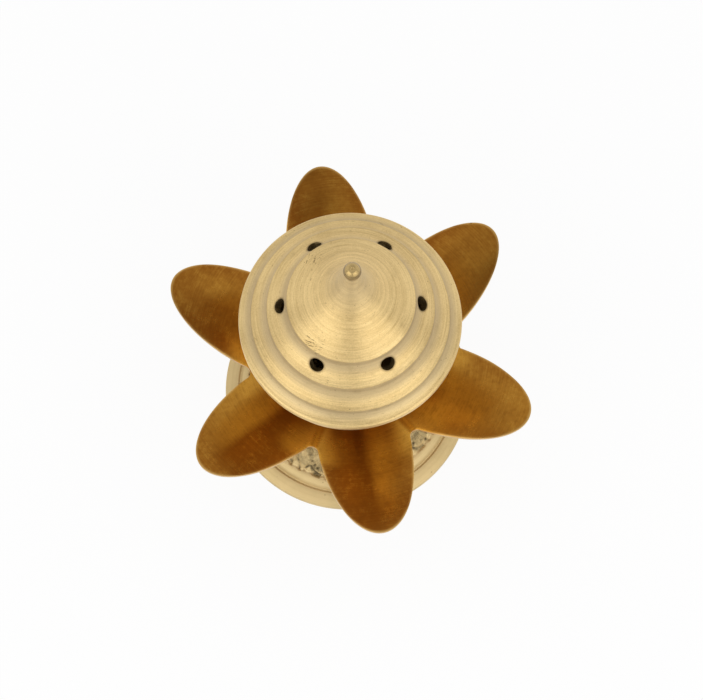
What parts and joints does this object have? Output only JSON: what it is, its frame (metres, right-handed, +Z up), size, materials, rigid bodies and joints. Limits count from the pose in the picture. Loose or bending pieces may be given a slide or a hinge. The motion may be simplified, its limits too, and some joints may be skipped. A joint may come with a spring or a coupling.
{
  "type": "incense stick holder",
  "caption": "Lotus-shaped brass incense stick holder: an ornamented foot, a ring of sheet petals, an ash bowl and a stepped lift-off lid pierced with slanting stick holes.",
  "frame": {"origin": "on the table, at the middle of the foot's underside", "axes": "+Z up along the axis that every turned piece shares; one petal points along +X"},
  "size_m": [0.0932, 0.0822, 0.1073],
  "materials": {
    "turned_brass": "lathe-turned, pale",
    "petal_brass": "brushed, amber patina",
    "foot_brass": "cast and polished, dark in the recesses",
    "fastener_brass": "plain machined"
  },
  "bodies": {
    "stand": {"foot": "foot_brass", "stem": "turned_brass", "petal_flower": "petal_brass", "bowl": "turned_brass", "tie_bolt": "fastener_brass", "foot_washer": "fastener_brass", "foot_nut": "fastener_brass"},
    "lid": {"pierced_lid": "turned_brass", "finial": "turned_brass"}
  },
  "joints": [
    {"name": "lid_lift", "type": "slide", "parent": "stand", "child": "lid", "axis": [0, 0, 1], "range_m": [0, 0.06]}
  ]
}
